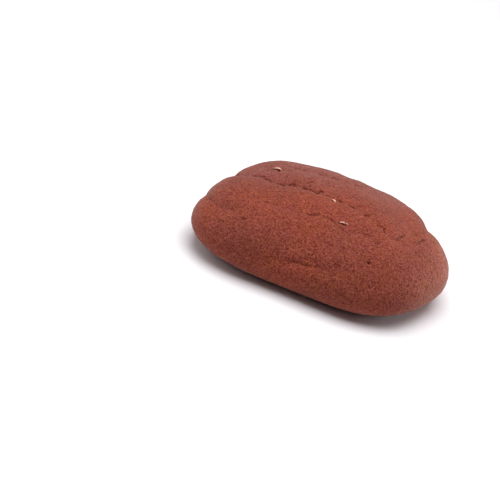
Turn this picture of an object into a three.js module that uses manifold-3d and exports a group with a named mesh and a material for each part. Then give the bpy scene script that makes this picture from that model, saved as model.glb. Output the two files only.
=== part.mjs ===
// A soft chocolate cookie, baked whole: one puffed oval on a flat foot. A long fold crosses its crown
// from end to end, a shorter one runs in front of it, a third wraps the left end and a fourth leaves
// over the back, and three bran flakes are baked into the top. Millimetres, +Z up. The long side lies
// along X, and the origin is on the foot, under the middle of the cookie.

import * as THREE from "three";
import { mergeVertices } from "three/addons/utils/BufferGeometryUtils.js";
import Module from "manifold-3d";

// Driving dimensions. Plan places are measured from the crown, the cookie's highest point.
const HEIGHT = 29;
const REACH = { right: 51.7, left: 53.2, back: 43.1, front: 33.6 };
const WIDEST_HEIGHT = 10.3;
const FOOT_SHARE = 0.64; // the flat foot's reach, as a share of the outline's

// The dome's section is a superellipse: a power above 2 flattens the crown and squares the shoulder.
const CROWN_POWER = 2.2;
const SHOULDER_POWER = 2;

// Slow waves round the outline, as shares of its reach: how the dough spread unevenly. They are full
// at the rim and die away toward the crown.
const OUTLINE_WAVES = [
  { waves: 2, cosine: -0.049, sine: -0.019 },
  { waves: 3, cosine: -0.01, sine: -0.032 },
  { waves: 4, cosine: -0.042, sine: 0.031 },
  { waves: 5, cosine: 0.012, sine: -0.01 },
  { waves: 6, cosine: 0.005, sine: 0.005 },
  { waves: 7, cosine: 0.009, sine: 0.005 },
];

// Slow swells of the crown: the length of a wave along X and along Y, its start and its rise.
const SWELLS = [
  { alongX: 58, alongY: 90, start: 0.8, rise: 0.34 },
  { alongX: -41, alongY: 33, start: 3.1, rise: 0.23 },
  { alongX: 27, alongY: 52, start: 4.4, rise: 0.27 },
];
// The swells grow between these heights.
const SWELLS_FROM = 12;
const SWELLS_FULL = 22;

// Folds: plan points that a smooth line runs through from left to right, how deep the fold is at its
// start, its middle and its end, how far its soft lips reach forward and back at its middle, and how
// much wider they are at its ends. The long fold runs out over the rim at both ends, the left one at
// its start and the back one at its end.
const FOLDS = [
  {
    points: [[-58, 26], [-47, 19.5], [-42, 16], [-38.4, 13], [-35.2, 10.2], [-32, 8.3], [-29.1, 6.3],
      [-26.3, 4.1], [-22.6, 2], [-18.9, 1.3], [-14.1, 1.1], [-9.5, 0.4], [-3.7, -0.6], [2.6, -2.3],
      [7, -3.2], [10.9, -4.8], [14.6, -7], [18.4, -9], [21.8, -10.9], [24.4, -10.9], [26, -8.3],
      [28.2, -4.3], [31, 2], [34.3, 10.2], [37.5, 18.5], [42, 27], [48, 36]],
    depths: [3.7, 0.4, 2.8],
    frontLip: 3.6,
    backLip: 4.6,
    widening: 0.7,
  },
  {
    points: [[-34, -13.5], [-27.9, -13.9], [-20.8, -14.3], [-12.2, -14.9], [-7.5, -15.1],
      [-4.5, -14.4], [-1, -14.5], [1.2, -15.2], [4.3, -17], [8, -17.6], [11.7, -16.3],
      [14.2, -16.6], [18.7, -18], [25, -19.5]],
    depths: [0, 0.6, 0],
    frontLip: 2.6,
    backLip: 4,
    widening: 0,
  },
  {
    points: [[-55.5, 12], [-51, 5], [-48, -1], [-46.5, -5], [-45.5, -8], [-44.2, -10.6],
      [-41.6, -14], [-39.4, -16.4], [-36, -18.4], [-33, -19.5], [-29.5, -21.8], [-22.4, -22.5]],
    depths: [0.7, 0.9, 0],
    frontLip: 2.6,
    backLip: 2,
    widening: 0.4,
  },
  {
    points: [[-24, 12], [-20.8, 14.5], [-16, 16.2], [-8.2, 17.4], [-4, 17.8], [-1.8, 19.2],
      [-0.3, 22], [0.5, 26], [2.7, 33], [4.7, 46]],
    depths: [0, 0.7, 0.2],
    frontLip: 4.5,
    backLip: 5.5,
    widening: 0,
  },
];
const FOLD_STEPS = 60;

// A crease along the front wall, rising a little from its left end to its right end.
const WALL_CREASE = { left: { x: -14, z: 13.7 }, right: { x: 9, z: 17.5 }, depth: 0.75, lip: 2.4 };

// Relief fades out between these heights above the foot, so that the foot stays flat.
const RELIEF_FROM = 0.5;
const RELIEF_FULL = 6;

// Bran flakes: thin curled lenses, half sunk in the crust, by plan place, size, turn, and how far the
// front edge is tipped up, in degrees.
const FLAKE_THICKNESS = 0.9;
const FLAKE_CURL = 0.5; // how far the ends droop below the middle
const FLAKES = [
  { x: -25.4, y: 14.6, length: 4.8, width: 1.8, turn: -24, lift: 5 },
  { x: -1.3, y: -3.2, length: 2.3, width: 1.5, turn: -30, lift: 0 },
  { x: 4.9, y: -14, length: 3.6, width: 1.6, turn: 3, lift: 12 },
];

// Facets of the skin along X, Y and Z, before the cube that carries them is swollen into the cookie.
const FACETS = { x: 38, y: 32, z: 22 };
// Angles from straight up at which the dome ends in the widest line and the underside in the foot.
const DOME_END = THREE.MathUtils.degToRad(105);
const UNDERSIDE_END = THREE.MathUtils.degToRad(135);
const UP = new THREE.Vector3(0, 0, 1);

// How far the form reaches from the crown at an angle in plan and a share of the outline's reach: a
// four-quarter ellipse with slow waves.
function reachFromCrown(angle, share) {
  const along = Math.cos(angle) / (Math.cos(angle) > 0 ? REACH.right : REACH.left);
  const across = Math.sin(angle) / (Math.sin(angle) > 0 ? REACH.back : REACH.front);
  const swing = OUTLINE_WAVES.reduce((sum, { waves, cosine, sine }) => {
    return sum + cosine * Math.cos(waves * angle) + sine * Math.sin(waves * angle);
  }, 0);
  return (share * (1 + swing * share ** 2)) / Math.hypot(along, across);
}

// The section at an angle from straight up: the share of the outline's reach, and the height.
function section(fromUp) {
  const quarter = Math.PI / 2;
  if (fromUp <= DOME_END) {
    const t = quarter * (fromUp / DOME_END);
    return {
      share: Math.sin(t) ** (2 / CROWN_POWER),
      height: WIDEST_HEIGHT + (HEIGHT - WIDEST_HEIGHT) * Math.cos(t) ** (2 / SHOULDER_POWER),
    };
  }
  if (fromUp <= UNDERSIDE_END) {
    const t = (quarter * (fromUp - DOME_END)) / (UNDERSIDE_END - DOME_END);
    return {
      share: FOOT_SHARE + (1 - FOOT_SHARE) * Math.cos(t),
      height: WIDEST_HEIGHT * (1 - Math.sin(t)),
    };
  }
  return { share: (FOOT_SHARE * (Math.PI - fromUp)) / (Math.PI - UNDERSIDE_END), height: 0 };
}

// A point of the plain form, before its relief, in a direction from the middle of the carrying cube.
function formPoint(direction) {
  const angle = Math.atan2(direction.y, direction.x);
  const { share, height } = section(direction.angleTo(UP));
  const reach = reachFromCrown(angle, share);
  return new THREE.Vector3(reach * Math.cos(angle), reach * Math.sin(angle), height);
}

// The line of a fold as short steps in plan.
function foldLine(fold) {
  const curve = new THREE.SplineCurve(fold.points.map(([x, y]) => new THREE.Vector2(x, y)));
  return curve.getSpacedPoints(FOLD_STEPS);
}

// How far a plan point is from a line, at what share of the line's length it is nearest, and whether
// it lies behind the line there.
function nearestOnLine(line, point) {
  let best = { distance: Infinity, share: 0, behind: false };
  for (let i = 0; i + 1 < line.length; i += 1) {
    const step = line[i + 1].clone().sub(line[i]);
    const offset = point.clone().sub(line[i]);
    const t = THREE.MathUtils.clamp(offset.dot(step) / step.lengthSq(), 0, 1);
    offset.addScaledVector(step, -t);
    const distance = offset.length();
    if (distance < best.distance) {
      best = { distance, share: (i + t) / (line.length - 1), behind: offset.y > 0 };
    }
  }
  return best;
}

// How deep a fold sinks the skin at a plan point: a valley whose soft lips run out to each side. Its
// depth and its lips go from the middle's to an end's by the square of the way there.
function foldDepth(fold, line, plan) {
  const { distance, share, behind } = nearestOnLine(line, plan);
  const [start, middle, end] = fold.depths;
  const towardEnd = (2 * share - 1) ** 2;
  const depth = THREE.MathUtils.lerp(middle, share < 0.5 ? start : end, towardEnd);
  const lip = (behind ? fold.backLip : fold.frontLip) * (1 + fold.widening * towardEnd);
  return depth / (1 + (distance / lip) ** 2) ** 2;
}

// How deep the crease along the front wall sinks the skin at a point.
function wallCreaseDepth(point) {
  const { left, right, depth, lip } = WALL_CREASE;
  const along = THREE.MathUtils.clamp((point.x - left.x) / (right.x - left.x), 0, 1);
  const x = THREE.MathUtils.lerp(left.x, right.x, along);
  const z = THREE.MathUtils.lerp(left.z, right.z, along);
  const distance = Math.hypot(point.x - x, point.z - z);
  return point.y < 0 ? depth * Math.exp(-((distance / lip) ** 2)) : 0;
}

// The crown's slow swells at a point.
function swellRise(point) {
  const rise = SWELLS.reduce((sum, swell) => {
    const turns = point.x / swell.alongX + point.y / swell.alongY;
    return sum + swell.rise * Math.sin(2 * Math.PI * turns + swell.start);
  }, 0);
  return rise * THREE.MathUtils.smoothstep(point.z, SWELLS_FROM, SWELLS_FULL);
}

// The cookie's skin: a cube whose facets are spread evenly over directions, swollen into the form,
// then moved along its normals by the relief.
function skinGeometry() {
  const cube = new THREE.BoxGeometry(2, 2, 2, FACETS.x, FACETS.y, FACETS.z);
  cube.deleteAttribute("normal");
  cube.deleteAttribute("uv");
  const skin = mergeVertices(cube);
  const places = skin.getAttribute("position");
  const direction = new THREE.Vector3();
  const spread = (side) => Math.tan((side * Math.PI) / 4);
  for (let i = 0; i < places.count; i += 1) {
    direction.fromBufferAttribute(places, i);
    direction.set(spread(direction.x), spread(direction.y), spread(direction.z));
    places.setXYZ(i, ...formPoint(direction));
  }
  skin.computeVertexNormals();
  const normals = skin.getAttribute("normal");
  const lines = FOLDS.map(foldLine);
  for (let i = 0; i < places.count; i += 1) {
    const point = new THREE.Vector3().fromBufferAttribute(places, i);
    const normal = new THREE.Vector3().fromBufferAttribute(normals, i);
    const plan = new THREE.Vector2(point.x, point.y);
    const sunk = FOLDS.reduce((sum, fold, n) => sum + foldDepth(fold, lines[n], plan), 0);
    const rise = swellRise(point) - sunk - wallCreaseDepth(point);
    const share = THREE.MathUtils.smoothstep(point.z, RELIEF_FROM, RELIEF_FULL);
    point.addScaledVector(normal, rise * share);
    places.setXYZ(i, ...point);
  }
  skin.deleteAttribute("normal");
  return skin;
}

// A bran flake: a flattened ball whose ends droop, laid on the skin where a plumb line meets it.
function flakeGeometry(flake, skinMesh) {
  const flat = new THREE.SphereGeometry(1, 8, 5);
  flat.rotateX(Math.PI / 2);
  flat.scale(flake.length / 2, flake.width / 2, FLAKE_THICKNESS / 2);
  const places = flat.getAttribute("position");
  for (let i = 0; i < places.count; i += 1) {
    const fromMiddle = places.getX(i) / (flake.length / 2);
    places.setZ(i, places.getZ(i) - FLAKE_CURL * fromMiddle ** 2);
  }
  const above = new THREE.Vector3(flake.x, flake.y, 2 * HEIGHT);
  const [hit] = new THREE.Raycaster(above, UP.clone().negate()).intersectObject(skinMesh);
  const outward = hit.face.normal;
  const lean = new THREE.Quaternion().setFromUnitVectors(UP, outward);
  const { degToRad } = THREE.MathUtils;
  const turned = new THREE.Euler(degToRad(-flake.lift), 0, degToRad(flake.turn), "ZXY");
  flat.applyQuaternion(lean.multiply(new THREE.Quaternion().setFromEuler(turned)));
  flat.translate(...hit.point.addScaledVector(outward, FLAKE_THICKNESS / 4));
  flat.deleteAttribute("normal");
  flat.deleteAttribute("uv");
  return mergeVertices(flat, 1e-3);
}

const wasm = await Module();
wasm.setup();

// A closed geometry as a solid that can be joined.
function solidOf(geometry) {
  const vertProperties = new Float32Array(geometry.getAttribute("position").array);
  const triVerts = new Uint32Array(geometry.index.array);
  return new wasm.Manifold(new wasm.Mesh({ numProp: 3, vertProperties, triVerts }));
}

// A joined solid as a geometry.
function geometryOf(solid) {
  const mesh = solid.getMesh();
  const geometry = new THREE.BufferGeometry();
  geometry.setAttribute("position", new THREE.BufferAttribute(mesh.vertProperties, 3));
  geometry.setIndex(new THREE.BufferAttribute(mesh.triVerts, 1));
  geometry.computeVertexNormals();
  return geometry;
}

// The whole cookie: the skin with its flakes fused on, over the origin.
function cookieMesh() {
  const skin = skinGeometry();
  const skinMesh = new THREE.Mesh(skin, new THREE.MeshStandardMaterial());
  const solid = FLAKES.reduce(
    (sum, flake) => sum.add(solidOf(flakeGeometry(flake, skinMesh))),
    solidOf(skin),
  );
  const geometry = geometryOf(solid);
  geometry.computeBoundingBox();
  const { min, max } = geometry.boundingBox;
  geometry.translate(-(min.x + max.x) / 2, -(min.y + max.y) / 2, -min.z);
  const crust = new THREE.MeshStandardMaterial({ color: 0x8a4638, roughness: 0.92, metalness: 0 });
  const mesh = new THREE.Mesh(geometry, crust);
  mesh.name = "cookie";
  return mesh;
}

const cookie = new THREE.Group();
cookie.add(cookieMesh());
export default cookie;
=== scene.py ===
"""A soft chocolate cookie on a pale floor, in soft studio light.

The cookie is one puffed oval of cocoa dough on a flat foot. Long folds cross its crust, short cracks
have opened along them, and bran flakes and specks are baked into the top. Its form is worked out from
the foot under the crown, which is its highest point, with X along the long side and Y towards the back.
The finished meshes are in metres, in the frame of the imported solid.

Where nothing else is said, lengths are in millimetres and angles in degrees, and an array of points,
places or directions has one a row.
"""

import itertools
import logging
import math
from dataclasses import dataclass, field
from enum import Enum

import bpy
import numpy as np
from mathutils import Matrix, Vector


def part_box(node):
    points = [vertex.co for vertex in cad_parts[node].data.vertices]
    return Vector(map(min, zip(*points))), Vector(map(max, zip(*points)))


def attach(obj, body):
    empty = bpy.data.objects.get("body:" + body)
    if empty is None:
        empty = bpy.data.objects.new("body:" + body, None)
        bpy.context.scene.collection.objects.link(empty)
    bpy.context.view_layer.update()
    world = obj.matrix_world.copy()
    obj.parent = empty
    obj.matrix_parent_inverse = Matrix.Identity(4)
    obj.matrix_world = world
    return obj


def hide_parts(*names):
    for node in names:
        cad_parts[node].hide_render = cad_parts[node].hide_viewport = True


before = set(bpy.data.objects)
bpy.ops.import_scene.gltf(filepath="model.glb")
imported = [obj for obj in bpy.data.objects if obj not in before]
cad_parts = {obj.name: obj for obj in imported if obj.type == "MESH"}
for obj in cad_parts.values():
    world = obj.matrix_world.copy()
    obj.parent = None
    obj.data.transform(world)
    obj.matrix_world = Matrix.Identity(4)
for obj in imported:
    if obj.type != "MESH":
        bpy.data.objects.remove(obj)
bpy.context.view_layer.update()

LOG = logging.getLogger("cookie")
MM = 0.001
IMAGE_WIDTH = 500
TINY = 1e-9
# The ranges that most of a noise texture's values, and the middle of them, fall in.
MOST, MIDDLE = (0.3, 0.7), (0.35, 0.65)
# Where the Mix node has its two colours and its mixed colour.
MIX_FIRST, MIX_SECOND, MIX_RESULT = 6, 7, 2
Array = np.ndarray
Socket = bpy.types.NodeSocket
Colour = tuple[float, float, float]
Faces = list[tuple[int, ...]]
Range = tuple[float, float]
Spot = tuple[float, float]


def eased(value: Array, low: float, high: float) -> Array:
    """A step that leaves 0 at a low value and reaches 1 at a high one, with flat ends: 3t^2 - 2t^3."""
    t = np.clip((value - low) / (high - low), 0.0, 1.0)
    return t * t * (3.0 - 2.0 * t)


def offset_from_route(points: Array, route: Array) -> tuple[Array, Array]:
    """How points stand to a route of straight steps, in as many dimensions as both have.

    On each step the nearest place is the foot of the perpendicular, held between the step's ends.

    Args:
        points: The points.
        route: The route's corners.

    Returns:
        Each point's offset from its nearest place on the route, and the share of the route's corners
        passed there.
    """
    nearest = np.full(len(points), np.inf)
    offset = np.zeros_like(points)
    share = np.zeros(len(points))
    for index, (start, end) in enumerate(itertools.pairwise(route)):
        step = end - start
        along = np.clip((points - start) @ step / (step @ step), 0.0, 1.0)
        away = points - start - along[:, None] * step
        distance = np.linalg.norm(away, axis=1)
        closer = distance < nearest
        nearest = np.where(closer, distance, nearest)
        offset = np.where(closer[:, None], away, offset)
        share = np.where(closer, (index + along) / (len(route) - 1), share)
    return offset, share


def smooth_route(corners: Array, steps: int, samples: int = 40) -> Array:
    """A Catmull-Rom curve through some corners, cut into steps of equal length.

    Between two corners the curve is the cubic that passes through both, and its slope at each is half
    the way from the corner before to the corner after.

    Args:
        corners: The places that the curve passes through.
        steps: How many steps to cut it into.
        samples: How many places a span is measured at.

    Returns:
        The ends of the steps.
    """
    last = len(corners) - 1
    travel = np.linspace(0.0, last, samples * last + 1)
    span = np.minimum(travel.astype(int), last - 1)
    t = (travel - span)[:, None]
    before, start = corners[np.maximum(span - 1, 0)], corners[span]
    end, after = corners[span + 1], corners[np.minimum(span + 2, last)]
    slope_in, slope_out = (end - before) / 2.0, (after - start) / 2.0
    curve = start + t * (slope_in + t * (
        3.0 * (end - start) - 2.0 * slope_in - slope_out
        + t * (2.0 * (start - end) + slope_in + slope_out)))
    length = np.append(0.0, np.cumsum(np.linalg.norm(np.diff(curve, axis=0), axis=1)))
    even = np.linspace(0.0, length[-1], steps + 1)
    return np.column_stack([np.interp(even, length, axis) for axis in curve.T])


@dataclass(frozen=True)
class Ripple:
    """Smooth random waves in space, the same on every run.

    Attributes:
        wavelength: Their usual width.
        rise: Their usual height.
        stretch: How many times longer they are along X, the way the folds run.
        seed: Picks one pattern of waves.
        table: How many slopes it draws.
        gain: What brings the noise's usual height to about 1.
    """

    wavelength: float
    rise: float
    stretch: float
    seed: int
    table: int = 1024
    gain: float = 1.6

    def rise_at(self, points: Array) -> Array:
        """The height of the waves at some points.

        Space is cut into cubes one wavelength wide. Each corner has a random slope, and a point takes
        the rise of its cube's eight slopes, blended by the ease 6t^5 - 15t^4 + 10t^3.

        Args:
            points: The points.

        Returns:
            The height at each.
        """
        draw = np.random.default_rng(self.seed)
        order = draw.permutation(self.table)
        slopes = draw.normal(size=(self.table, 3))
        slopes /= np.linalg.norm(slopes, axis=1, keepdims=True)
        scaled = points / np.array([self.stretch, 1.0, 1.0]) / self.wavelength
        cube = np.floor(scaled).astype(np.int64)
        inside = scaled - cube
        ease = inside**3 * (inside * (inside * 6.0 - 15.0) + 10.0)
        height = np.zeros(len(points))
        for corner in itertools.product((0, 1), repeat=3):
            x, y, z = ((cube + corner) % self.table).T
            slope = slopes[order[(order[(order[x] + y) % self.table] + z) % self.table]]
            share = np.prod(np.where(np.array(corner) == 1, ease, 1.0 - ease), axis=1)
            height += share * np.sum((inside - corner) * slope, axis=1)
        return self.rise * (self.gain * height)


@dataclass(frozen=True)
class PuffedForm:
    """The cookie's plain form, before its folds and grain.

    Attributes:
        height: From the foot to the crown.
        widest_height: Of the line where the outline is widest.
        reach_right: From the crown to the outline along +X.
        reach_left: The same along -X.
        reach_back: The same along +Y.
        reach_front: The same along -Y.
        foot_share: The flat foot's reach, as a share of the outline's.
        crown_power: The dome's superellipse power, above 2 for a flattened crown.
        cosines: Slow waves of the outline, as shares of its reach, with fewest_waves and more round it.
            They are full at the rim and die away toward the crown.
        sines: Their other halves.
        fewest_waves: How many the first of them has round the outline.
        dome_end: The angle from straight up whose direction carries the widest line.
        underside_end: The angle whose direction carries the edge of the foot.
        rounds: How often the share over a spot is corrected.
    """

    height: float = 29.0
    widest_height: float = 10.3
    reach_right: float = 51.7
    reach_left: float = 53.2
    reach_back: float = 43.1
    reach_front: float = 33.6
    foot_share: float = 0.64
    crown_power: float = 2.2
    cosines: tuple[float, ...] = (-0.049, -0.01, -0.042, 0.012, 0.005, 0.009)
    sines: tuple[float, ...] = (-0.019, -0.032, 0.031, -0.01, 0.005, 0.005)
    fewest_waves: int = 2
    dome_end: float = math.radians(135.0)
    underside_end: float = math.radians(158.0)
    rounds: int = 6

    def section(self, from_up: Array) -> tuple[Array, Array]:
        """The section in directions at some angles from straight up.

        The dome is a superellipse from the crown to the widest line, the underside a quarter ellipse
        from there to the foot, and the foot is flat.

        Args:
            from_up: The angles, in radians.

        Returns:
            The share of the outline's reach, and the height, at each angle.
        """
        dome = np.clip(from_up / self.dome_end, 0.0, 1.0) * math.pi / 2
        under = (from_up - self.dome_end) / (self.underside_end - self.dome_end)
        under = np.clip(under, 0.0, 1.0) * math.pi / 2
        inward = (math.pi - from_up) / (math.pi - self.underside_end)
        rise = self.height - self.widest_height
        cases = [from_up <= self.dome_end, from_up <= self.underside_end]
        share = np.select(cases, [
            np.sin(dome) ** (2.0 / self.crown_power),
            self.foot_share + (1.0 - self.foot_share) * np.cos(under)], self.foot_share * inward)
        height = np.select(cases, [
            self.widest_height + rise * np.cos(dome), self.widest_height * (1.0 - np.sin(under))])
        return share, height

    def reach(self, angle: Array, share: Array) -> Array:
        """How far the form reaches from the crown: a four-quarter ellipse with slow waves.

        Args:
            angle: Angles in plan, from +X towards +Y, in radians.
            share: The shares of the outline's reach.

        Returns:
            The reach at each angle and share.
        """
        along = np.cos(angle) / np.where(np.cos(angle) > 0, self.reach_right, self.reach_left)
        across = np.sin(angle) / np.where(np.sin(angle) > 0, self.reach_back, self.reach_front)
        swing = sum(
            cosine * np.cos(waves * angle) + sine * np.sin(waves * angle)
            for waves, (cosine, sine) in enumerate(zip(self.cosines, self.sines), self.fewest_waves))
        return share * (1.0 + swing * share**2) / np.hypot(along, across)

    def on_top(self, spots: Array) -> Array:
        """The places of the dome over some spots in plan.

        The share of the outline's reach comes from the spot's distance by rounds, as the waves in the
        reach depend on it in turn. The height is the superellipse's at that share.

        Args:
            spots: X and Y from the crown.

        Returns:
            X, Y and height.
        """
        angle = np.arctan2(spots[:, 1], spots[:, 0])
        distance = np.linalg.norm(spots, axis=1)
        share = distance / self.reach(angle, np.ones(len(spots)))
        for _ in range(self.rounds):
            share = share * distance / np.maximum(self.reach(angle, share), TINY)
        rise = self.height - self.widest_height
        height = self.widest_height + rise * np.sqrt(
            np.clip(1.0 - share**self.crown_power, 0.0, 1.0))
        return np.column_stack([spots, height])

    def places(self, directions: Array) -> Array:
        """The form's places in some directions, which are given as unit vectors."""
        angle = np.arctan2(directions[:, 1], directions[:, 0])
        share, height = self.section(np.arccos(np.clip(directions[:, 2], -1.0, 1.0)))
        reach = self.reach(angle, share)
        return np.column_stack([reach * np.cos(angle), reach * np.sin(angle), height])


@dataclass(frozen=True)
class Swell:
    """A slow wave of the crown.

    Attributes:
        along_x: The length of the wave along X.
        along_y: The same along Y.
        start: Where in its turn the wave stands at the crown, in radians.
        rise: Its height.
    """

    along_x: float
    along_y: float
    start: float
    rise: float

    def rise_at(self, places: Array) -> Array:
        """The wave's height: its rise times the sine of the turns made along X and Y."""
        turns = places[:, 0] / self.along_x + places[:, 1] / self.along_y
        return self.rise * np.sin(2.0 * math.pi * turns + self.start)


@dataclass(frozen=True)
class Fold:
    """A long valley where one lobe of dough met the next.

    Attributes:
        route: The plan places that it runs through, from left to right, measured from the crown.
        depths: How deep it is at its start, its middle and its end.
        front_lip: How far its rounded lip reaches forward at its middle.
        back_lip: How far it reaches back there.
        widening: How much wider its lips are at its ends, as a share.
        steps: How many straight steps it is cut into.
    """

    route: tuple[Spot, ...]
    depths: tuple[float, float, float]
    front_lip: float
    back_lip: float
    widening: float
    steps: int = 60

    def depth_at(self, places: Array) -> Array:
        """How deep the fold sinks the skin: depth / (1 + (distance / lip)^2)^2.

        The depth and the lips go from the middle's to an end's by the square of the way there.

        Args:
            places: Places of the plain form.

        Returns:
            The depth at each place.
        """
        line = smooth_route(np.array(self.route), self.steps)
        offset, share = offset_from_route(places[:, :2], line)
        start, middle, end = self.depths
        toward_end = (2.0 * share - 1.0) ** 2
        depth = middle + (np.where(share < 0.5, start, end) - middle) * toward_end
        lip = np.where(offset[:, 1] > 0.0, self.back_lip, self.front_lip)
        lip = lip * (1.0 + self.widening * toward_end)
        return depth / (1.0 + (np.linalg.norm(offset, axis=1) / lip) ** 2) ** 2


@dataclass(frozen=True)
class WallCrease:
    """A soft crease along the front wall, between two places given by X and height."""

    left: Spot = (-14.0, 13.7)
    right: Spot = (9.0, 17.5)
    depth: float = 0.75
    lip: float = 2.4

    def depth_at(self, places: Array) -> Array:
        """How deep the crease sinks the front wall: depth * exp(-(distance / lip)^2)."""
        offset, _ = offset_from_route(places[:, [0, 2]], np.array([self.left, self.right]))
        distance = np.linalg.norm(offset, axis=1)
        return np.where(places[:, 1] < 0.0, self.depth * np.exp(-((distance / self.lip) ** 2)), 0.0)


class Tear(Enum):
    """How a crack has opened: its depth and half width, and how much shade is painted into it, up to 1."""

    HAIRLINE = (0.25, 0.5, 0.48)
    CLOSED = (0.3, 0.6, 0.92)
    SHALLOW = (0.5, 0.55, 0.74)
    OPEN = (0.85, 0.65, 1.0)
    WIDE_SHADE = (0.4, 1.0, 0.5)

    def __init__(self, depth: float, half_width: float, shade_strength: float) -> None:
        """Names the three values."""
        self.depth = depth
        self.half_width = half_width
        self.shade_strength = shade_strength

    def openness_at(self, places: Array, route: Array) -> Array:
        """How open a crack along a route is, from 0 to 1: exp(-(distance / half width)^2)."""
        offset, _ = offset_from_route(places, route)
        return np.exp(-((np.linalg.norm(offset, axis=1) / self.half_width) ** 2))


@dataclass(frozen=True)
class Pit:
    """A small round hole in the crust, where a bubble broke or a crumb came away."""

    spot: Spot
    radius: float
    depth: float

    def openness_at(self, places: Array, form: PuffedForm) -> Array:
        """How open the pit is, from 0 to 1: exp(-(distance / radius)^2)."""
        distance = np.linalg.norm(places - form.on_top(np.array([self.spot])), axis=1)
        return np.exp(-((distance / self.radius) ** 2))


FOLDS = (
    Fold(((-58, 26), (-47, 19.5), (-42, 16), (-38.4, 13), (-35.2, 10.2), (-32, 8.3), (-29.1, 6.3),
          (-26.3, 4.1), (-22.6, 2), (-18.9, 1.3), (-14.1, 1.1), (-9.5, 0.4), (-3.7, -0.6), (2.6, -2.3),
          (7, -3.2), (10.9, -4.8), (14.6, -7), (18.4, -9), (21.8, -10.9), (24.4, -10.9), (26, -8.3),
          (28.2, -4.3), (31, 2), (34.3, 10.2), (37.5, 18.5), (42, 27), (48, 36)),
         (3.7, 0.4, 2.8), 3.6, 4.6, 0.7),
    Fold(((-34, -13.5), (-27.9, -13.9), (-20.8, -14.3), (-12.2, -14.9), (-7.5, -15.1), (-4.5, -14.4),
          (-1, -14.5), (1.2, -15.2), (4.3, -17), (8, -17.6), (11.7, -16.3), (14.2, -16.6),
          (18.7, -18), (25, -19.5)),
         (0.0, 0.6, 0.0), 2.6, 4.0, 0.0),
    Fold(((-55.5, 12), (-51, 5), (-48, -1), (-46.5, -5), (-45.5, -8), (-44.2, -10.6), (-41.6, -14),
          (-39.4, -16.4), (-36, -18.4), (-33, -19.5), (-29.5, -21.8), (-22.4, -22.5)),
         (0.7, 0.9, 0.0), 2.6, 2.0, 0.4),
    Fold(((-24, 12), (-20.8, 14.5), (-16, 16.2), (-8.2, 17.4), (-4, 17.8), (-1.8, 19.2), (-0.3, 22),
          (0.5, 26), (2.7, 33), (4.7, 46)),
         (0.0, 0.7, 0.2), 4.5, 5.5, 0.0),
)

SWELLS = (
    Swell(58.0, 90.0, 0.8, 0.34),
    Swell(-41.0, 33.0, 3.1, 0.23),
    Swell(27.0, 52.0, 4.4, 0.27),
)

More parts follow.
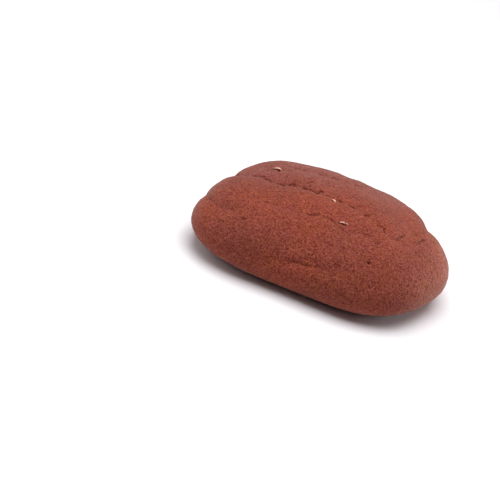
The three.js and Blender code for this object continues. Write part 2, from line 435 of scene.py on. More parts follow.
# The plan places that the cracks run through from the crown: those along the longest
# fold from left to right, then those of the other folds, the front and the back.
CRACKS = {
    Tear.HAIRLINE: (
        ((-37.4, 14.4), (-35.4, 12), (-33, 10.4)),
        ((-24.8, 2.4), (-23.6, 2), (-22.6, 2.1)),
        ((-20.6, 1.3), (-19.6, 1.5), (-18.5, 1.9)),
        ((-16.7, 5.2), (-17.1, 4), (-17.1, 2.8)),
        ((-15.5, 2), (-14.1, 1.6), (-12.7, 1.7)),
        ((-2.7, -0.4), (-1.2, -0.8), (1, -1.1)),
        ((-1.1, 1.3), (1.2, 0.3)),
        ((12.6, -5.2), (13.8, -4.4), (15, -4.1)),
        ((24.3, -11.8), (27.1, -11), (29, -11)),
        ((24.5, -4.3), (25.8, -4), (27.4, -2.2)),
        ((-14.2, 18), (-12.1, 17.6), (-9, 18.1)),
        ((-7.7, 18.6), (-5.8, 18.3), (-3.9, 18.7)),
        ((1.6, 17.5), (4.5, 17.4)),
        ((-24.6, -13.7), (-23.1, -13.4)),
        ((-21.1, -14), (-19.4, -13.9), (-18.4, -13.9)),
        ((-18.4, -13.9), (-16, -14.1), (-14.3, -14.2)),
        ((-2.6, -14.6), (-1.1, -14.3), (0.2, -14.8)),
        ((1.1, -15.2), (2.9, -16.2), (4.3, -17.3), (6.2, -18.2)),
        ((9.1, -17), (11.9, -16), (14.2, -16.4)),
        ((-43.4, -12), (-41.6, -14), (-39.4, -16.6), (-36, -18.4)),
        ((-37.4, -16.7), (-35.1, -18.5), (-33.7, -19.6)),
        ((-1.1, -31.6), (1.1, -31.6), (4.4, -31.8)),
        ((36.9, -3.3), (37.6, -0.3), (38.7, 4.6)),
        ((32.4, -11.5), (34.7, -9.7), (36.6, -5.9)),
        ((36.1, -10.7), (38.2, -10.1), (39.9, -9.1)),
        ((39.3, -13.2), (40.1, -13.1), (41.3, -12.6)),
        ((-26.1, 37.3), (-22, 38.2), (-18.5, 38.9)),
        ((1.4, 36.5), (2.6, 38.5), (3, 40.5)),
        ((6.5, 37.6), (10.8, 37.2), (14.6, 38.3), (17.4, 37.9)),
    ),
    Tear.CLOSED: (
        ((-40.6, 18.3), (-39.8, 17.4), (-37.4, 14.4)),
        ((-33, 10.4), (-30.7, 8.7), (-29.2, 7.5)),
        ((-25.9, 4), (-24.8, 2.4), (-24.2, 1.6)),
        ((1, -1.1), (2.3, -1.6), (4.7, -2.2), (6.8, -4.2)),
        ((16.4, -8.8), (17.7, -8.3), (18.9, -8.4), (19.3, -9.4), (19.9, -11.2)),
        ((22.9, -11.8), (24, -11.5), (25.1, -9.8), (26.1, -7.8), (27.6, -4.8)),
        ((-28.4, -22.8), (-27.8, -22.5), (-27, -21.9)),
        ((31.9, -7.9), (32.7, -5.8), (33.8, -2.5), (34.7, -0.4)),
    ),
    Tear.SHALLOW: (
        ((-30.6, 9), (-28.9, 7.8), (-28, 6.8)),
        ((-10.5, 1.2), (-8.7, 0.8)),
        ((-6.5, 2.1), (-5.3, 2.3)),
        ((-5.6, -0.1), (-4.2, 0.6), (-2.7, -0.4)),
        ((6.7, -2.4), (8.2, -1.8), (9.5, -1.4)),
        ((21, -12.2), (22.9, -11.8)),
        ((-11.2, 10.8), (-11.9, 9.2)),
        ((-10.4, 8), (-11.1, 6.9), (-11.9, 5.2)),
        ((-10.5, 4.4), (-11.2, 3)),
        ((-18.3, 18.9), (-16.3, 18.4), (-14.2, 18)),
        ((-2.3, 18.9), (-0.5, 19), (1, 19), (1.6, 17.5)),
        ((4.5, 17.4), (6.6, 17), (7.8, 18.4)),
        ((-8, -15.2), (-6.3, -15), (-4.4, -14.2)),
        ((0.2, -14.8), (1.1, -15.2)),
        ((-45.9, -8.2), (-44.8, -9.6), (-43.4, -12)),
        ((-29.4, -22.8), (-28.4, -22.8)),
        ((-11.8, -30.7), (-9.5, -30.9), (-7.3, -31), (-5.2, -31.2)),
        ((-5.2, -31.2), (-3, -31.4), (-1.1, -31.6)),
        ((-31.5, 34.6), (-28.4, 35.9), (-26.1, 37.3)),
        ((33.5, 27), (35.8, 24.6), (37.6, 22)),
    ),
    Tear.OPEN: (
        ((-28, 6.8), (-26.8, 4.9), (-25.9, 4)),
        ((-22.6, 2.1), (-21.6, 1.7), (-20.6, 1.3)),
        ((-18.5, 1.9), (-17.1, 2.8), (-16.4, 2.1), (-15.5, 2)),
        ((-12.7, 1.7), (-11.6, 1.2), (-10.5, 1.2)),
        ((-8.7, 0.8), (-7.9, -0.1), (-7.2, 0.3), (-6.5, 2.1)),
        ((11.4, -5.6), (12.6, -5.2)),
        ((-9, 18.3), (-7.7, 18.8)),
        ((-3.9, 18.7), (-2.3, 18.9)),
        ((3.4, -14.9), (4.2, -14.9), (5, -15)),
        ((17.4, 37.9), (19.2, 36.9)),
    ),
    # Broad bands of painted shade along the folds, over shallow grooves.
    Tear.WIDE_SHADE: (
        ((0.1, -2.3), (1.9, -1.9), (3.4, -2.4), (5.3, -2.9), (6.6, -3.7)),
        ((-44.4, -10.8), (-43.3, -12.4), (-41.5, -14.4), (-40, -16.2), (-38, -18)),
        ((30.5, 0.1), (31.9, 2), (33.4, 4.7), (35.2, 10.9)),
    ),
}

PITS = (
    Pit((17.6, -27), 0.65, 0.75),
    Pit((15.4, -29), 0.5, 0.4),
    Pit((18.3, -17.8), 0.55, 0.45),
    Pit((6.9, -23.4), 0.5, 0.4),
    Pit((8, -25.3), 0.6, 0.35),
    Pit((-30.3, -26.5), 0.5, 0.4),
    Pit((-17.2, -24.2), 0.45, 0.3),
    Pit((-13.2, 14.3), 0.5, 0.4),
    Pit((-24.4, 13.1), 0.8, 0.6),
    Pit((-36.5, 28.1), 0.55, 0.45),
    Pit((-12.5, 38.6), 0.7, 0.6),
    Pit((27.4, 31.8), 0.6, 0.5),
)


@dataclass
class Skin:
    """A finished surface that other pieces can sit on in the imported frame.

    Attributes:
        places: Its vertices.
        normals: The outward direction at each.
        shift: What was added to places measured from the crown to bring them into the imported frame.
        least_rise: The least rise of a normal that counts as the top.
    """

    places: Array
    normals: Array
    shift: Array
    least_rise: float = 0.1

    def spot(self, x: float, y: float) -> tuple[Array, Array]:
        """The place and the outward direction where a plumb line meets the top of the skin.

        Args:
            x: The plumb line's X from the crown.
            y: Its Y from the crown.

        Returns:
            The place, and the unit vector that points out of the skin there.
        """
        aim = np.array([x, y]) + self.shift[:2]
        near = np.linalg.norm(self.places[:, :2] - aim, axis=1)
        near = np.where(self.normals[:, 2] > self.least_rise, near, np.inf)
        index = int(np.argmin(near))
        return self.places[index], self.normals[index]


def cube_lattice(cells: tuple[int, int, int]) -> tuple[Array, Array]:
    """The shell of a block of cells: its lattice points, each once, and its four-cornered faces.

    Args:
        cells: How many cells the block has along X, Y and Z.

    Returns:
        The whole-number coordinates of the points, and the faces as indices into them, outwards.
    """
    count = np.array(cells)
    points, faces, known = [], [], 0
    for axis, far in itertools.product(range(3), (False, True)):
        across, up = (axis + 1) % 3, (axis + 2) % 3
        a, b = np.meshgrid(np.arange(count[across] + 1), np.arange(count[up] + 1), indexing="ij")
        side = np.empty((a.size, 3), np.int64)
        side[:, axis] = count[axis] if far else 0
        side[:, across] = a.ravel()
        side[:, up] = b.ravel()
        index = known + np.arange(a.size).reshape(a.shape)
        ring = [index[:-1, :-1], index[1:, :-1], index[1:, 1:], index[:-1, 1:]]
        faces.append(np.stack(ring if far else ring[::-1], axis=-1).reshape(-1, 4))
        points.append(side)
        known += a.size
    unique, back = np.unique(np.concatenate(points), axis=0, return_inverse=True)
    return unique, back.ravel()[np.concatenate(faces)]


def vertex_normals(places: Array, faces: Array) -> Array:
    """The outward unit vector at each vertex: the sum of its faces' cross products of diagonals.

    Args:
        places: The vertices.
        faces: Four corners a row, as indices.

    Returns:
        One unit vector a row.
    """
    corners = places[faces]
    face = np.cross(corners[:, 2] - corners[:, 0], corners[:, 3] - corners[:, 1])
    normal = np.zeros_like(places)
    for corner in range(4):
        np.add.at(normal, faces[:, corner], face)
    return normal / np.linalg.norm(normal, axis=1, keepdims=True)


def put_in_scene(name: str, data: bpy.types.ID) -> bpy.types.Object:
    """Makes an object of a mesh, a light or a camera and links it into the scene."""
    thing = bpy.data.objects.new(name, data)
    bpy.context.scene.collection.objects.link(thing)
    return thing


def make_piece(name: str, places: Array, faces: Faces, material: bpy.types.Material) -> bpy.types.Object:
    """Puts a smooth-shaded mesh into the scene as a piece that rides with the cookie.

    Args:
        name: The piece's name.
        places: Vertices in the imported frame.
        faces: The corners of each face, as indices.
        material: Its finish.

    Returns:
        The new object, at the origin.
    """
    mesh = bpy.data.meshes.new(name)
    mesh.from_pydata(places * MM, [], faces)
    mesh.shade_smooth()
    mesh.validate()
    mesh.materials.append(material)
    piece = put_in_scene(name, mesh)
    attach(piece, "root")
    LOG.info("%s: %d vertices, %d faces", name, len(mesh.vertices), len(mesh.polygons))
    return piece


@dataclass(frozen=True)
class Texture:
    """One noise of a finish.

    Attributes:
        size: The size of its patches.
        detail: How many finer layers are added.
        stretch: How many times longer its patches are along X.
        distortion: How much it swirls.
        depth: How deep the relief is that it makes.
    """

    size: float
    detail: float
    stretch: float = 1.0
    distortion: float = 0.0
    depth: float = 0.0


class NodeBench:
    """Builds one material's nodes."""

    def __init__(self, name: str) -> None:
        """Starts an empty material of that name with a surface shader."""
        self.material = bpy.data.materials.new(name)
        self.material.use_nodes = True
        self.tree = self.material.node_tree
        self.tree.nodes.clear()
        self.shader = self.tree.nodes.new("ShaderNodeBsdfPrincipled")
        output = self.tree.nodes.new("ShaderNodeOutputMaterial")
        self.tree.links.new(self.shader.outputs["BSDF"], output.inputs["Surface"])
        self.object_place = self.tree.nodes.new("ShaderNodeTexCoord").outputs["Object"]

    def settle(self, **sockets: float | tuple) -> None:
        """Sets the shader's own sockets, named with _ for a space."""
        for name, value in sockets.items():
            self.shader.inputs[name.replace("_", " ")].default_value = value

    def drive(self, socket: str, source: Socket) -> None:
        """Links a value that changes over the surface to one of the shader's sockets."""
        self.tree.links.new(source, self.shader.inputs[socket])

    def node(self, kind: str, inputs: dict, **settings: object) -> bpy.types.Node:
        """Adds a node.

        Args:
            kind: Its Blender type.
            inputs: A value or a socket to link for each input, by name or number.
            **settings: Its other settings.

        Returns:
            The new node.
        """
        node = self.tree.nodes.new(kind)
        for name, value in settings.items():
            setattr(node, name, value)
        for name, value in inputs.items():
            if isinstance(value, Socket):
                self.tree.links.new(value, node.inputs[name])
            else:
                node.inputs[name].default_value = value
        return node

    def noise(self, texture: Texture) -> Socket:
        """A texture's noise on Object coordinates, from 0 to 1."""
        mapped = self.node("ShaderNodeMapping", {
            "Vector": self.object_place, "Scale": (1.0 / texture.stretch, 1.0, 1.0)})
        noise = self.node("ShaderNodeTexNoise", {
            "Vector": mapped.outputs["Vector"], "Scale": 1.0 / (texture.size * MM),
            "Detail": texture.detail, "Distortion": texture.distortion})
        return noise.outputs["Fac"]

    def spread(self, source: Socket, low: float, high: float, to_low: float = 0.0,
               to_high: float = 1.0) -> Socket:
        """Maps a range of a socket's values to another range, held at its ends."""
        return self.node("ShaderNodeMapRange", {
            "Value": source, "From Min": low, "From Max": high,
            "To Min": to_low, "To Max": to_high}, clamp=True).outputs["Result"]

    def blend(self, share: Socket | float, first: Socket | Colour, second: Socket | Colour,
              way: str = "MIX") -> Socket:
        """Mixes two colours by a share, in one of Blender's ways."""
        first, second = (
            c if isinstance(c, Socket) else (*c, 1.0) for c in (first, second))
        node = self.node("ShaderNodeMix", {0: share, MIX_FIRST: first, MIX_SECOND: second},
                         data_type="RGBA", blend_type=way)
        return node.outputs[MIX_RESULT]

    def sum(self, first: Socket, second: Socket) -> Socket:
        """Two sockets' values together."""
        return self.node("ShaderNodeMath", {0: first, 1: second}, operation="ADD").outputs["Value"]

    def rise_along(self, direction: tuple[float, float, float], span: Range) -> Socket:
        """A value that goes from 0 to 1 between two distances along a direction, from the origin."""
        distance = self.node("ShaderNodeVectorMath", {0: self.object_place, 1: direction},
                             operation="DOT_PRODUCT").outputs["Value"]
        return self.spread(distance, span[0] * MM, span[1] * MM)

    def attribute(self, name: str) -> Socket:
        """The value of a mesh attribute."""
        return self.node("ShaderNodeAttribute", {}, attribute_name=name).outputs["Fac"]

    def bump(self, layers: list[tuple[Socket, float]]) -> None:
        """Raises the surface by layers of height, each with its depth."""
        normal = None
        for height, depth in layers:
            inputs = {"Height": height, "Distance": depth * MM, "Strength": 1.0}
            if normal is not None:
                inputs["Normal"] = normal
            normal = self.node("ShaderNodeBump", inputs).outputs["Normal"]
        self.drive("Normal", normal)


@dataclass(frozen=True)
class CocoaCrust:
    """A soft, matte cocoa crust: velvety, finely grained, with shade painted into its cracks and pores.

    Attributes:
        warm: The crust's redder brown.
        dull: Its greyer brown.
        back_sheen_tone: Its paler brown at the back: painted sheen of the back's grazing slopes.
        end_rim_light: Its palest brown, at the right end: a painted rim light.
        deep: Its colour inside cracks and pores, as painted shade.
        foot: The colour of the flat underside, browned on the tray.
        hollow: How the hollows between its crumbs change its colour, channel by channel.
        crumb: How the dusty tops of its crumbs do.
        rosy: How small patches lean toward rose.
        tan: How others lean toward tan.
        backward: The plan direction along which the back turns paler with painted sheen.
        back_sheen_span: How far along it the painted sheen begins and is full, from the origin.
        end_light_span: How far along X the painted rim light of the right end begins and is full.
        browning: How far along -Z the foot's colour begins and is full.
        patches: Where it is warm and where dull.
        mottles: Where it is a shade darker or lighter.
        tints: Where it is rosy and where tan.
        pores: Where small pores open, painted dark as shade.
        rags: How the edges of its cracks are frayed.
        lumps: Its coarse relief.
        crumbs: Its grain.
        dust: Its finest relief.
        mottle_tones: The darkest and the lightest mottle.
        pore_edge: The noise at which a pore begins and is full.
        torn_edge: The painted shade at which a crack begins and is full.
        torn_depth: How deep its edge stands in the relief.
    """

    warm: Colour = (0.256, 0.046, 0.024)
    dull: Colour = (0.217, 0.042, 0.025)
    back_sheen_tone: Colour = (0.235, 0.056, 0.04)
    end_rim_light: Colour = (0.31, 0.082, 0.051)
    deep: Colour = (0.118, 0.01, 0.0045)
    foot: Colour = (0.14, 0.034, 0.024)
    hollow: Colour = (0.54, 0.3, 0.28)
    crumb: Colour = (1.52, 2.0, 2.1)
    rosy: Colour = (1.0, 0.97, 1.1)
    tan: Colour = (1.0, 1.03, 0.9)
    backward: tuple[float, float, float] = (-0.33, 0.94, 0.0)
    back_sheen_span: Range = (-6.0, 14.0)
    end_light_span: Range = (34.0, 46.0)
    browning: Range = (-1.5, -0.2)
    patches: Texture = Texture(22.0, 3.0)
    mottles: Texture = Texture(2.4, 3.0, 1.2)
    tints: Texture = Texture(4.0, 2.0)
    pores: Texture = Texture(1.5, 1.0)
    rags: Texture = Texture(0.7, 2.0)
    lumps: Texture = Texture(2.2, 3.0, 1.2, depth=0.12)
    crumbs: Texture = Texture(0.6, 2.0, distortion=0.5, depth=0.48)
    dust: Texture = Texture(0.3, 1.0, depth=0.04)
    mottle_tones: Range = (0.9, 1.08)
    pore_edge: Range = (0.68, 0.76)
    torn_edge: Range = (0.28, 0.75)
    torn_depth: float = 0.2

    def base(self, bench: NodeBench) -> Socket:
        """The crust's slow change of colour from patch to patch, with painted sheen toward its back and a
        painted rim light at its right end.
        """
        colour = bench.blend(bench.spread(bench.noise(self.patches), *MIDDLE), self.warm, self.dull)
        # Paler toward the back: painted sheen.
        colour = bench.blend(bench.rise_along(self.backward, self.back_sheen_span), colour, self.back_sheen_tone)
        # Paler toward the right end: a painted rim light.
        return bench.blend(bench.rise_along((1.0, 0.0, 0.0), self.end_light_span), colour, self.end_rim_light)

    def grained(self, bench: NodeBench, colour: Socket, crumbs: Socket) -> Socket:
        """Multiplies a colour by the tones of the mottles, the crumbs and the tints."""
        mottle = bench.spread(bench.noise(self.mottles), *MOST, *self.mottle_tones)
        grey = bench.node("ShaderNodeCombineColor", {"Red": mottle, "Green": mottle, "Blue": mottle})
        grain = bench.blend(bench.spread(crumbs, *MOST), self.hollow, self.crumb)
        tint = bench.blend(bench.spread(bench.noise(self.tints), *MIDDLE), self.rosy, self.tan)
        for tone in (grey.outputs["Color"], grain, tint):
            colour = bench.blend(1.0, colour, tone, "MULTIPLY")
        return colour

    def material(self) -> bpy.types.Material:
        """Builds the finish: grained colour with shade painted into its pores and cracks, and a browned
        foot, over its relief.

        Returns:
            The new material.
        """
        bench = NodeBench("cocoa_crust")
        crumbs = bench.noise(self.crumbs)
        colour = self.grained(bench, self.base(bench), crumbs)
        # Pores have no relief: their shade is only painted.
        pores = bench.spread(bench.noise(self.pores), *self.pore_edge, to_high=0.55)
        colour = bench.blend(pores, colour, self.deep)
        colour = bench.blend(bench.rise_along((0.0, 0.0, -1.0), self.browning), colour, self.foot)
        # Cracks, pits and fold bands take the deep colour by the crack attribute: painted shade.
        frayed = bench.spread(bench.noise(self.rags), *MOST, to_low=-0.22, to_high=0.22)
        torn = bench.spread(bench.sum(bench.attribute("crack"), frayed), *self.torn_edge)
        bench.drive("Base Color", bench.blend(torn, colour, self.deep))
        bench.drive("Roughness", bench.spread(crumbs, *MOST, to_low=0.95, to_high=0.8))
        bench.settle(Specular_IOR_Level=0.2, Sheen_Weight=0.3, Sheen_Roughness=0.25,
                     Sheen_Tint=(1.0, 0.84, 0.74, 1.0))
        whole = bench.spread(torn, 0.0, 1.0, to_low=1.0, to_high=0.0)
        bench.bump([(bench.noise(self.lumps), self.lumps.depth), (crumbs, self.crumbs.depth),
                    (whole, self.torn_depth), (bench.noise(self.dust), self.dust.depth)])
        return bench.material


@dataclass(frozen=True)
class BranHusk:
    """Dry, pale bran: tan, paler along streaks, faintly glossy."""

    name: str = "bran_husk"
    body: Colour = (0.45, 0.195, 0.15)
    pale: Colour = (0.74, 0.39, 0.31)
    fibres: Texture = Texture(0.35, 2.0, 4.0, depth=0.05)

    def material(self) -> bpy.types.Material:
        """Builds the finish: fine streaks of a paler tan, with a fibrous grain."""
        bench = NodeBench(self.name)
        fibre = bench.noise(self.fibres)
        bench.drive("Base Color", bench.blend(bench.spread(fibre, *MIDDLE), self.body, self.pale))
        bench.drive("Roughness", bench.spread(fibre, *MOST, to_low=0.75, to_high=0.5))
        bench.settle(Specular_IOR_Level=0.4)
        bench.bump([(fibre, self.fibres.depth)])
        return bench.material


@dataclass(frozen=True)
class PaleFloor:
    """A plain, pale, matte floor."""

    colour: Colour = (0.86, 0.85, 0.875)

    def material(self) -> bpy.types.Material:
        """Builds the finish."""
        bench = NodeBench("pale_floor")
        bench.settle(Base_Color=(*self.colour, 1.0), Roughness=0.9, Specular_IOR_Level=0.1)
        return bench.material


@dataclass
class CookieBody:
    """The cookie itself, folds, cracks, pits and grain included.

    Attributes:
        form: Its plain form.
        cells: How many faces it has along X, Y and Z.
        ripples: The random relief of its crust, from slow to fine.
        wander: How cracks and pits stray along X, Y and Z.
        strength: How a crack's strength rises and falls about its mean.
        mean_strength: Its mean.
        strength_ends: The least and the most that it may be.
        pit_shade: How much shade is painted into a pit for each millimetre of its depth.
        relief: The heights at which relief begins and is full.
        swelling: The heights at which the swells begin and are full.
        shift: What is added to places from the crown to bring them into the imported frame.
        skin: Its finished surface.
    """

    form: PuffedForm = PuffedForm()
    cells: tuple[int, int, int] = (156, 128, 104)
    ripples: tuple[Ripple, ...] = (
        Ripple(9.0, 0.12, 1.5, 11),
        Ripple(4.2, 0.08, 1.3, 12),
        Ripple(2.1, 0.05, 1.0, 13),
        Ripple(1.3, 0.09, 1.0, 14),
    )
    wander: tuple[Ripple, ...] = tuple(Ripple(1.9, 0.55, 1.0, seed) for seed in (21, 22, 23))
    strength: Ripple = Ripple(2.6, 0.6, 1.0, 24)
    mean_strength: float = 0.75
    strength_ends: Range = (0.15, 1.3)
    pit_shade: float = 1.5
    relief: Range = (0.5, 6.0)
    swelling: Range = (12.0, 22.0)
    shift: Array = field(init=False)
    skin: Skin = field(init=False)

    def directions(self, lattice: Array) -> Array:
        """Unit vectors through a block's lattice points: the tangent of each even angle, made unit."""
        sides = np.tan((2.0 * lattice / np.array(self.cells) - 1.0) * math.pi / 4)
        return sides / np.linalg.norm(sides, axis=1, keepdims=True)

    def broad_relief(self, plain: Array) -> Array:
        """How far places of the plain form move outwards by the swells, folds and the wall's crease."""
        swells = sum(swell.rise_at(plain) for swell in SWELLS)
        swells = swells * eased(plain[:, 2], *self.swelling)
        sunk = sum(fold.depth_at(plain) for fold in FOLDS) + WallCrease().depth_at(plain)
        return swells - sunk

    def openness(self, plain: Array) -> tuple[Array, Array]:
        """How far the cracks and pits sink the crust, and how much shade is painted into them.

        Places are first moved by noise, so that the cracks turn jagged, and each crack's strength
        rises and falls along it.

        Args:
            plain: Places of the plain form.

        Returns:
            The depth, and the painted shade from 0 to 1, at each place.
        """
        strayed = plain + np.column_stack([ripple.rise_at(plain) for ripple in self.wander])
        strength = np.clip(self.mean_strength + self.strength.rise_at(plain), *self.strength_ends)
        depth = np.zeros(len(plain))
        painted_shade = np.zeros(len(plain))
        for tear, routes in CRACKS.items():
            for route in routes:
                line = self.form.on_top(np.array(route))
                openness = tear.openness_at(strayed, line) * strength
                depth = np.maximum(depth, tear.depth * openness)
                painted_shade = np.maximum(painted_shade, tear.shade_strength * openness)
        for pit in PITS:
            openness = pit.openness_at(strayed, self.form)
            depth = np.maximum(depth, pit.depth * openness)
            painted_shade = np.maximum(painted_shade, self.pit_shade * pit.depth * openness)
        return depth, np.clip(painted_shade, 0.0, 1.0)

    def shape(self) -> tuple[Array, Array, Array]:
        """Works out the whole form, and keeps the middle of the broad one for the fit.

        Returns:
            The finished places measured from the crown, the shade painted into the cracks, and the
            four-cornered faces.
        """
        lattice, faces = cube_lattice(self.cells)
        plain = self.form.places(self.directions(lattice))
        outwards = vertex_normals(plain, faces)
        keep = eased(plain[:, 2], *self.relief)
        broad = plain + outwards * (keep * self.broad_relief(plain))[:, None]
        depth, painted_shade = self.openness(plain)
        fine = sum(ripple.rise_at(plain) for ripple in self.ripples)
        normals = vertex_normals(broad, faces)
        places = broad + normals * (keep * (fine - depth))[:, None]
        places[:, 2] = np.maximum(places[:, 2], 0.0)
        middle = (broad.min(axis=0) + broad.max(axis=0)) / 2.0
        self.shift = np.array([-middle[0], -middle[1], 0.0])
        return places, painted_shade * keep, faces

    def fit(self, places: Array) -> Array:
        """Moves places over the origin, as the solid is, and keeps them inside the solid's box.

        Args:
            places: The finished places, measured from the crown.

        Returns:
            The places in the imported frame.
        """
        moved = places + self.shift
        low, high = (np.array(corner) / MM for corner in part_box("cookie"))
        share = np.minimum(high / moved.max(axis=0), 1.0)
        share[:2] = np.minimum(share[:2], (low / moved.min(axis=0))[:2])
        return moved * share

    def build(self) -> bpy.types.Object:
        """Makes the cookie's mesh, dresses it and lets it stand for the solid.

        Returns:
            The new piece.
        """
        shaped, painted_shade, faces = self.shape()
        places = self.fit(shaped)
        self.skin = Skin(places, vertex_normals(places, faces), self.shift)
        piece = make_piece("cookie_crust", places, faces.tolist(), CocoaCrust().material())
        # The crack attribute holds the shade painted into the cracks, pits and fold bands.
        crack = piece.data.attributes.new("crack", "FLOAT", "POINT")
        crack.data.foreach_set("value", painted_shade.astype(np.float32))
        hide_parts("cookie")
        return piece


def closed_ball(rings: int, columns: int) -> tuple[Array, Faces]:
    """A unit ball's vertices and outward faces, with one vertex at each pole.

    Ring i of n stands at the angle pi * i / n from the top pole, and its vertices are evenly turned.

    Args:
        rings: Steps from pole to pole.
        columns: Steps round.

    Returns:
        The vertices, and the corners of each face.
    """
    polar, turn = np.meshgrid(
        np.linspace(0.0, math.pi, rings + 1)[1:-1],
        np.linspace(0.0, 2.0 * math.pi, columns, endpoint=False), indexing="ij")
    body = np.stack([np.sin(polar) * np.cos(turn), np.sin(polar) * np.sin(turn), np.cos(polar)], -1)
    places = np.vstack([body.reshape(-1, 3), [[0.0, 0.0, 1.0], [0.0, 0.0, -1.0]]])
    index = np.arange((rings - 1) * columns).reshape(rings - 1, columns)
    after = np.roll(index, -1, axis=1)
    quads = np.stack([index[:-1], index[1:], after[1:], after[:-1]], -1).reshape(-1, 4)
    top, bottom = len(places) - 2, len(places) - 1
    caps = [(top, a, b) for a, b in zip(index[0], after[0])]
    caps += [(bottom, b, a) for a, b in zip(index[-1], after[-1])]
    return places, quads.tolist() + [tuple(int(i) for i in cap) for cap in caps]


def joined(shapes: list[tuple[Array, Faces]]) -> tuple[Array, Faces]:
    """Several small shapes as one.

    Args:
        shapes: The vertices and the faces of each.

    Returns:
        All the vertices, and the corners of each face.
    """
    places, faces, known = [], [], 0
    for own_places, own_faces in shapes:
        places.append(own_places)
        faces += [tuple(known + corner for corner in face) for face in own_faces]
        known += len(own_places)
    return np.concatenate(places), faces


def laid_on(skin: Skin, shape: Array, x: float, y: float, turn: float, lift: float, proud: float) -> Array:
    """Lays a small shape on the skin.

    Args:
        skin: What it lies on.
        shape: Its places round its own middle, with its length along X and its top up.
        x: Where it lies, from the crown.
        y: The same along Y.
        turn: How far its length is turned from X.
        lift: How far its front edge is tipped up.
        proud: How far its middle stands above the skin.

    Returns:
        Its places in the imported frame.
    """
    place, outwards = skin.spot(x, y)
    lean = Vector((0.0, 0.0, 1.0)).rotation_difference(Vector(outwards)).to_matrix()
    pose = Matrix.Rotation(math.radians(turn), 3, "Z") @ Matrix.Rotation(math.radians(-lift), 3, "X")
    return shape @ np.array(lean @ pose).T + place + proud * outwards


@dataclass(frozen=True)
class BranFlake:
    """One curled flake of bran.

    Attributes:
        x: Where it lies, from the crown.
        y: The same along Y.
        length: Its longer side.
        width: Its shorter side.
        turn: How far its length is turned from X.
        lift: How far its front edge is tipped up.
        seed: Picks the raggedness of its edge.
        raggedness: How far its edge comes in and out, as a share.
        rag_size: The size of the waves by which it does, in half lengths.
        half_thickness: Half its thickness at its middle.
        curl: How far its long sides curl up.
        droop: How far its ends droop.
    """

    x: float
    y: float
    length: float
    width: float
    turn: float
    lift: float
    seed: int
    raggedness: float = 0.16
    rag_size: float = 0.55
    half_thickness: float = 0.13
    curl: float = 0.34
    droop: float = 0.3

    def shape(self) -> tuple[Array, Faces]:
        """The flake round its own middle.

        A flattened ball: its edge comes in and out with noise, its long sides curl up by the square of
        the distance across, and its ends droop by the square of the distance along.

        Returns:
            Its vertices, and the corners of each face.
        """
        ball, faces = closed_ball(rings=10, columns=28)
        flat = ball * np.array([1.0, 1.0, 0.2])
        ragged = 1.0 + Ripple(self.rag_size, self.raggedness, 1.0, self.seed).rise_at(flat)
        along = ball[:, 0] * ragged
        across = ball[:, 1] * ragged
        rise = self.half_thickness * ball[:, 2] + self.curl * across**2 - self.droop * along**2
        return np.column_stack([along * self.length / 2, across * self.width / 2, rise]), faces


@dataclass(frozen=True)
class BranFlakes:
    """The bran flakes baked into the top, as one piece.

    Attributes:
        flakes: Each of them.
        proud: How far their middles stand above the skin.
    """

    flakes: tuple[BranFlake, ...] = (
        BranFlake(-25.4, 14.6, 4.8, 1.9, -24.0, 4.0, 31),
        BranFlake(-1.3, -3.2, 2.3, 1.5, -30.0, 0.0, 32),
        BranFlake(4.3, -13.95, 2.4, 0.7, 9.0, 16.0, 33),
        BranFlake(5.75, -14.15, 1.3, 0.6, -22.0, 8.0, 34),
    )
    proud: float = 0.12

    def build(self, skin: Skin) -> bpy.types.Object:
        """Lays every flake on the skin and joins them."""
        laid = []
        for flake in self.flakes:
            shape, faces = flake.shape()
            places = laid_on(skin, shape, flake.x, flake.y, flake.turn, flake.lift, self.proud)
            laid.append((places, faces))
        return make_piece("bran_flakes", *joined(laid), BranHusk().material())


@dataclass(frozen=True)
class BranSpecks:
    """Tiny pale specks of bran in the crust, as one piece.

    Attributes:
        seen: The plan places of the clearest ones, from the crown.
        scattered: How many more are strewn over the top.
        strewn_over: The half length and half width of the oval they are strewn over.
        size: The mean width of a speck.
        least: The least length and thickness of a speck, as shares of its size, and its least turn.
        most: The most that these may be.
        breadth: The breadth of each, as a share of its size.
        proud: How far their middles stand above the skin.
        seed: Picks the strewn ones.
        husk: Their finish.
    """

    seen: tuple[Spot, ...] = ((-29.1, -6.0), (-23.5, -10.9), (-14.8, 7.9), (-18.6, -13.6))
    scattered: int = 22
    strewn_over: Spot = (40.0, 32.0)
    size: float = 0.42
    least: tuple[float, float, float] = (0.7, 0.3, 0.0)
    most: tuple[float, float, float] = (1.4, 0.6, 180.0)
    breadth: float = 0.6
    proud: float = 0.02
    seed: int = 41
    husk: BranHusk = BranHusk("bran_speck", (0.42, 0.18, 0.13), (0.6, 0.3, 0.23))

    def build(self, skin: Skin) -> bpy.types.Object:
        """Presses every speck into the skin and joins them.

        Args:
            skin: The cookie's surface.

        Returns:
            The new piece.
        """
        draw = np.random.default_rng(self.seed)
        angle = draw.uniform(0.0, 2.0 * math.pi, self.scattered)
        reach = np.sqrt(draw.uniform(0.0, 1.0, self.scattered))
        strewn = reach[:, None] * np.column_stack([np.cos(angle), np.sin(angle)]) * self.strewn_over
        ball, faces = closed_ball(rings=5, columns=8)
        laid = []
        for x, y in np.vstack([self.seen, strewn]):
            length, thickness, turn = draw.uniform(self.least, self.most)
            shape = ball * np.array([length, self.breadth, thickness]) * self.size / 2
            laid.append((laid_on(skin, shape, x, y, turn, 0.0, self.proud), faces))
        return make_piece("bran_specks", *joined(laid), self.husk.material())


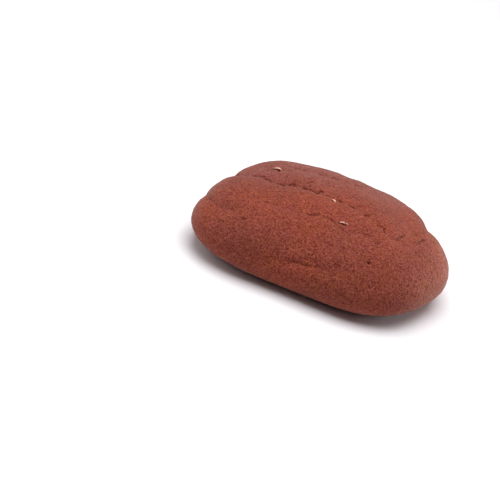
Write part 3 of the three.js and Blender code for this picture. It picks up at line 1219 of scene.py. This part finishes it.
@dataclass(frozen=True)
class View:
    """The camera: a long lens that looks down on the cookie's front, turned about its own axis.

    Attributes:
        elevation: Above the horizon.
        roll: How far the picture is turned.
        distance: From the cookie's middle.
        scale: Pixels a millimetre at the cookie's middle.
        aim: Where the cookie's middle shows, in pixels right of and above the picture's middle.
        middle_height: The height of the cookie's middle.
        sensor: The width of the sensor.
    """

    elevation: float = 28.0
    roll: float = 18.0
    distance: float = 420.0
    scale: float = 2.69
    aim: tuple[float, float] = (74.7, 12.3)
    middle_height: float = 11.6
    sensor: float = 36.0

    def build(self, skin: Skin) -> None:
        """Makes the camera and looks through it.

        Args:
            skin: The cookie's surface, whose crown the view is measured from.
        """
        tilt = math.radians(self.elevation)
        back = Vector((0.0, -math.cos(tilt), math.sin(tilt)))
        level = Matrix((Vector((1.0, 0.0, 0.0)), back.cross(Vector((1.0, 0.0, 0.0))), back)).transposed()
        rolled = level @ Matrix.Rotation(math.radians(self.roll), 3, "Z")
        focal = self.scale * self.distance
        toward = Vector((self.aim[0], self.aim[1], -focal)).normalized()
        turned = toward.rotation_difference(Vector((0.0, 0.0, -1.0))).to_matrix()
        data = bpy.data.cameras.new("camera")
        data.sensor_width = self.sensor
        data.lens = focal * self.sensor / IMAGE_WIDTH
        data.dof.use_dof = False
        camera = put_in_scene("camera", data)
        middle = Vector(skin.shift) + Vector((0.0, 0.0, self.middle_height))
        camera.matrix_world = Matrix.Translation((middle + back * self.distance) * MM) @ (
            rolled @ turned).to_4x4()
        bpy.context.scene.camera = camera


@dataclass(frozen=True)
class SoftBox:
    """A square soft light that faces the cookie.

    Attributes:
        name: Its name.
        azimuth: Its direction in plan, from the front towards the right.
        elevation: Above the horizon.
        side: The length of its side, in metres.
        power: In watts.
        colour: Of its light.
        distance: From the origin, in metres.
    """

    name: str
    azimuth: float
    elevation: float
    side: float
    power: float
    colour: Colour = (1.0, 1.0, 1.0)
    distance: float = 1.0

    def build(self) -> None:
        """Makes the light."""
        turn, tilt = math.radians(self.azimuth), math.radians(self.elevation)
        away = Vector((math.sin(turn) * math.cos(tilt), -math.cos(turn) * math.cos(tilt), math.sin(tilt)))
        data = bpy.data.lights.new(self.name, "AREA")
        data.size = self.side
        data.energy = self.power
        data.color = self.colour
        light = put_in_scene(self.name, data)
        light.matrix_world = Matrix.Translation(away * self.distance) @ (
            away.to_track_quat("Z", "Y").to_matrix().to_4x4())


@dataclass(frozen=True)
class Studio:
    """The floor, whose side is in metres, the even light all round and the soft boxes."""

    floor_side: float = 12.0
    surround: Colour = (1.0, 1.0, 1.0)
    surround_strength: float = 0.05
    boxes: tuple[SoftBox, ...] = (
        SoftBox("overhead", 0.0, 90.0, 0.9, 13.6),
        SoftBox("right_side", 120.0, 8.0, 0.4, 6.5),
        SoftBox("left_side", 270.0, 30.0, 0.9, 4.0),
    )

    def build(self) -> None:
        """Makes the floor and the lights."""
        half = self.floor_side / 2
        mesh = bpy.data.meshes.new("floor")
        mesh.from_pydata(
            [(-half, -half, 0.0), (half, -half, 0.0), (half, half, 0.0), (-half, half, 0.0)], [],
            [(0, 1, 2, 3)])
        mesh.materials.append(PaleFloor().material())
        put_in_scene("floor", mesh)
        world = bpy.data.worlds.new("surround")
        world.use_nodes = True
        background = world.node_tree.nodes["Background"]
        background.inputs["Color"].default_value = (*self.surround, 1.0)
        background.inputs["Strength"].default_value = self.surround_strength
        bpy.context.scene.world = world
        bpy.context.scene.view_settings.view_transform = "Standard"
        for box in self.boxes:
            box.build()


def main() -> None:
    """Builds the cookie, what is baked into it, the camera and the studio."""
    logging.basicConfig(level=logging.INFO, format="%(name)s: %(message)s")
    body = CookieBody()
    body.build()
    BranFlakes().build(body.skin)
    BranSpecks().build(body.skin)
    View().build(body.skin)
    Studio().build()


if __name__ == "__main__":
    main()
